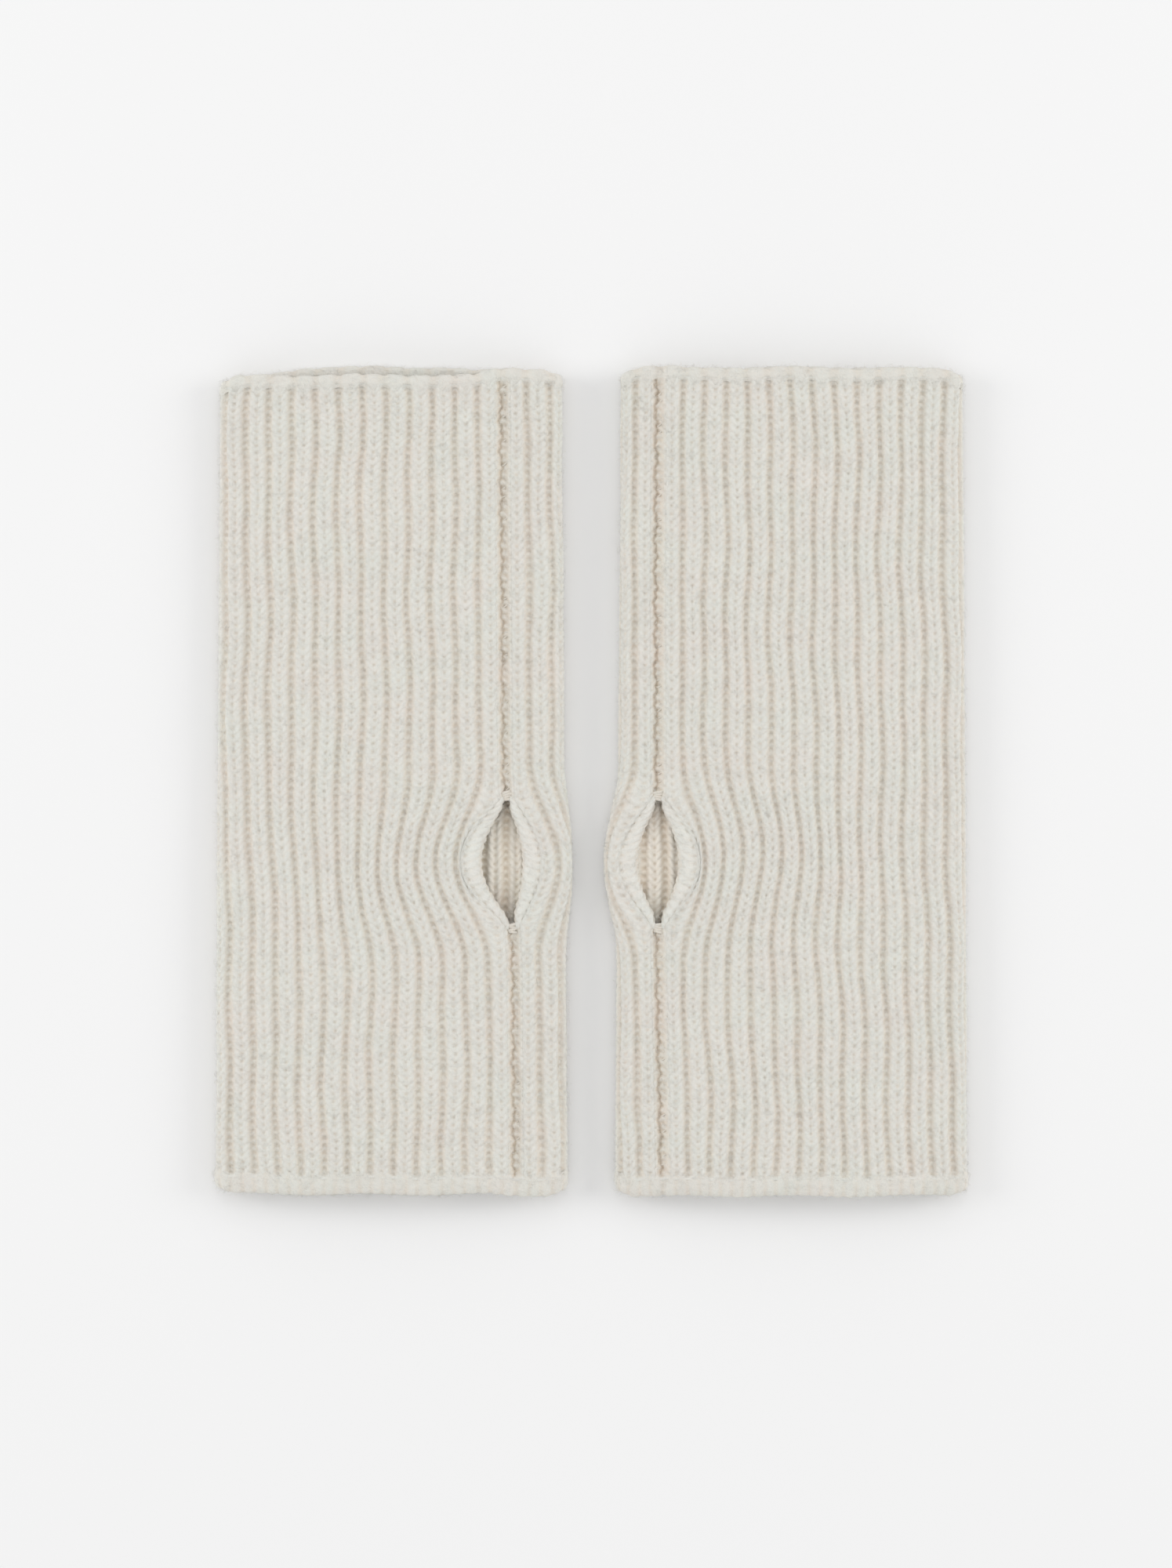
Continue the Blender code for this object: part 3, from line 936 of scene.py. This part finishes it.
def stray_fibres(glove, name, sources, tree, material):
    """Loose fibres over the given pieces, as one piece."""
    copies, fibre = [], one_fibre()
    for i, source in enumerate(sources):
        copy = bpy.data.objects.new(f"{source.name}_fibre_bed", source.data.copy())
        bpy.context.scene.collection.objects.link(copy)
        sizes = {"fibre": fibre, "fibres_per_area": FIBRES_PER_AREA, "length": FIBRE_LENGTH}
        copies.append(knitted(copy, tree, material, seed=glove.seed * 10 + i, **sizes))
    return joined(f"{glove.name}_{name}", copies)


def joined(name, objects):
    """One object from several meshes."""
    with bpy.context.temp_override(active_object=objects[0], selected_editable_objects=objects):
        bpy.ops.object.join()
    objects[0].name = objects[0].data.name = name
    return objects[0]


def bend(made, glove):
    """Bakes the piece's transform into its mesh; it does not bend the piece at the wrist."""
    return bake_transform(made)


def panel_sheets(glove, tree, material, sizes):
    """The ribbed panel in strips: the palm, the thumb side and the back, each split at the wrist."""
    hand_ys = course_rows(0, HAND_COURSES, COURSE_STEPS)
    last = course_count(LAST_COURSE_Y)
    arm_ys = course_rows(HAND_COURSES, last, COURSE_STEPS)
    strips = {
        "thumb_side": between(LIP_RIB, glove.first_back_rib, FINE_STEPS),
        "back": between(glove.first_back_rib, glove.first_palm_rib, BACK_STEPS),
        "palm": between(glove.first_palm_rib, glove.ribs - LIP_RIB, FINE_STEPS),
    }
    made = {}
    for section, ys in (("hand", hand_ys), ("arm", arm_ys)):
        for strip, ribs in strips.items():
            name = f"{section}_{strip}"
            made[name] = knit_strip(glove, name, ribs, ys, tree, material, **sizes)
    return made


RIB_SIZES = {
    "rib_depth": RIB_DEPTH,
    "leg_height": 0.00036,
    "crease_depth": 0.00023,
    "bead_height": 0.00040,
    "pit_depth": 0.00028,
}
SEAM_SIZES = {**RIB_SIZES, "bead_height": 0.00046}
INSIDE_SIZES = {**RIB_SIZES, "crease_depth": 0.00034, "bead_height": 0.00060, "pit_depth": 0.00045}
ROLL_SIZES = {**RIB_SIZES, "rib_depth": 0.0002, "bead_height": 0.00026}


def make_glove(glove, trees, materials):
    rib_knit, rolled, yarn, fibres = trees
    knit, inside_wool_painted_light, edge, link, fluff = materials
    hand, arm = f"{glove.name}_hand", f"{glove.name}_arm"

    panels = panel_sheets(glove, rib_knit, knit, RIB_SIZES)
    last = course_count(LAST_COURSE_Y)
    inside_hand = inside_face(glove, "hand_inside", 0, HAND_COURSES, rib_knit, inside_wool_painted_light, **INSIDE_SIZES)
    inside_arm = inside_face(glove, "arm_inside", HAND_COURSES, last, rib_knit, inside_wool_painted_light, **INSIDE_SIZES)
    finger_edge = end_roll(
        glove, "finger_roll", FIRST_COURSE_Y + 0.0002, FINGER_Y, 2, FINGER_LOOP_DEPTH, rolled, edge
    )
    arm_edge = end_roll(
        glove, "arm_bind_off", LAST_COURSE_Y - 0.0002, ARM_Y, 1, ARM_LOOP_DEPTH, rolled, edge
    )
    palm_roll = thumb_roll(glove, "palm_roll", -1, rib_knit, knit, **ROLL_SIZES)
    side_roll = thumb_roll(glove, "side_roll", 1, rib_knit, knit, **ROLL_SIZES)

    rows = COURSE_STEPS / COURSE_HEIGHT
    seam_low = between(FIRST_COURSE_Y - 0.0006, SLIT_LOW_Y, rows)
    seam_high = between(SLIT_HIGH_Y, LAST_COURSE_Y + 0.0003, rows)
    gutter_low = seam_gutter(glove, "finger_gutter", seam_low, rib_knit, link, **SEAM_SIZES)
    gutter_high = seam_gutter(glove, "arm_gutter", seam_high, rib_knit, link, **SEAM_SIZES)
    stitches_low = linking_stitches(
        glove, "finger_linking", FIRST_COURSE_Y, SLIT_LOW_Y - LINKING_STOP, yarn, link
    )
    stitches_high = linking_stitches(
        glove, "arm_linking", SLIT_HIGH_Y + LINKING_STOP, LAST_COURSE_Y - 0.001, yarn, link
    )
    low_tack = tack(glove, "finger_tack", SLIT_LOW_Y - TACK_OFFSET, yarn, edge)
    high_tack = tack(glove, "wrist_tack", SLIT_HIGH_Y + TACK_OFFSET, yarn, edge)

    hand_beds = [panels["hand_palm"], panels["hand_thumb_side"], panels["hand_back"], finger_edge]
    arm_beds = [panels["arm_palm"], panels["arm_thumb_side"], panels["arm_back"], arm_edge]
    hand_beds += [palm_roll, side_roll, gutter_low]
    arm_beds += [gutter_high]
    hand_fibres = stray_fibres(glove, "hand_fibres", hand_beds, fibres, fluff)
    arm_fibres = stray_fibres(glove, "arm_fibres", arm_beds, fibres, fluff)

    on_hand = [panels[f"hand_{s}"] for s in ("palm", "thumb_side", "back")]
    on_hand += [inside_hand, finger_edge, palm_roll, side_roll, gutter_low, stitches_low]
    on_hand += [low_tack, high_tack, hand_fibres]
    for made in on_hand:
        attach(made, hand)
    across_wrist = [panels[f"arm_{s}"] for s in ("palm", "thumb_side", "back")]
    across_wrist += [inside_arm, arm_edge, gutter_high, stitches_high, arm_fibres]
    for made in across_wrist:
        bend(made, glove)

    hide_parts(f"{glove.name}_hand_panel")
    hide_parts(f"{glove.name}_arm_panel")
    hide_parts(f"{glove.name}_finger_edge")
    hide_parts(f"{glove.name}_arm_edge")
    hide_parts(f"{glove.name}_thumb_roll_palm")
    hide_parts(f"{glove.name}_thumb_roll_side")
    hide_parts(f"{glove.name}_finger_seam")
    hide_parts(f"{glove.name}_wrist_seam", f"{glove.name}_arm_seam")
    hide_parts(f"{glove.name}_lower_tack")
    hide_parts(f"{glove.name}_upper_tack")
    for made in on_hand + across_wrist:
        linked = made in (gutter_low, gutter_high, stitches_low, stitches_high)


# Surroundings


FLOOR_COLOUR = (0.905, 0.905, 0.905, 1.0)
WORLD_LIGHT = 0.74
SIDE_POWER = 6.5
TOP_POWER = 1.6
VIEW_HEIGHT = 0.4000
VIEW_CENTRE = (-0.0014, -0.0008)


def floor():
    mesh = bpy.data.meshes.new("floor")
    corners = [(-3, -3, 0), (3, -3, 0), (3, 3, 0), (-3, 3, 0)]
    mesh.from_pydata(corners, [], [(0, 1, 2, 3)])
    material, _, shader = shader_tree("pale_floor")
    shader.inputs["Base Color"].default_value = FLOOR_COLOUR
    shader.inputs["Roughness"].default_value = 1.0
    shader.inputs["Specular IOR Level"].default_value = 0.0
    mesh.materials.append(material)
    made = bpy.data.objects.new("floor", mesh)
    made.location.z = -0.0001
    bpy.context.scene.collection.objects.link(made)


def soft_light(name, place, size, power):
    data = bpy.data.lights.new(name, "AREA")
    data.shape, data.size, data.energy = "DISK", size, power
    made = bpy.data.objects.new(name, data)
    made.location = place
    made.rotation_euler = (-made.location).to_track_quat("-Z", "Y").to_euler()
    bpy.context.scene.collection.objects.link(made)


def surroundings():
    floor()
    world = bpy.data.worlds.new("studio")
    world.use_nodes = True
    tree = world.node_tree
    background = tree.nodes["Background"]
    background.inputs["Color"].default_value = (1.0, 1.0, 1.0, 1.0)
    path = node(tree, "ShaderNodeLightPath")
    seen = Field(tree, path.outputs["Is Camera Ray"])
    put(tree, background.inputs["Strength"], seen * (FLOOR_COLOUR[0] - WORLD_LIGHT) + WORLD_LIGHT)
    bpy.context.scene.world = world
    soft_light("left_softbox", (-1.4, 0.2, 0.75), 0.9, SIDE_POWER)
    soft_light("right_softbox", (1.4, 0.2, 0.75), 0.9, SIDE_POWER)
    soft_light("top_softbox", (0.0, 0.75, 1.6), 0.9, TOP_POWER)

    camera = bpy.data.cameras.new("camera")
    camera.lens, camera.sensor_width = 110.0, 36.0
    camera.clip_start, camera.clip_end = 0.05, 10.0
    made = bpy.data.objects.new("camera", camera)
    distance = VIEW_HEIGHT / 2 / (camera.sensor_width / 2 / camera.lens)
    made.location = (*VIEW_CENTRE, CROWN_HEIGHT + distance)
    bpy.context.scene.collection.objects.link(made)
    bpy.context.scene.camera = made
    bpy.context.scene.view_settings.view_transform = "Standard"


def main():
    trees = (rib_knit_tree(), rolled_edge_tree(), yarn_tree(), stray_fibre_tree())
    materials = (
        # Each wool's second colour is painted shade, mixed in where the surface lies in furrows, gaps and
        # creases.
        wool("cream_rib_wool", CREST_COLOUR, FURROW_SHADE_COLOUR, 0.55),
        # The inside wool is a lit and shaded copy of the rib wool: paler crests painted light against the
        # shade inside the tube, and a darker, warmer painted shade in its furrows.
        wool("cream_inside_wool", (0.862, 0.815, 0.738, 1.0), (0.745, 0.650, 0.535, 1.0), 0.55),
        wool("cream_edge_wool", (0.798, 0.788, 0.746, 1.0), FURROW_SHADE_COLOUR, 0.60),
        wool("linking_wool", CREST_COLOUR, (0.772, 0.694, 0.600, 1.0), 0.55),
        fibre_material(),
    )
    for glove in GLOVES:
        make_glove(glove, trees, materials)
    surroundings()


main()
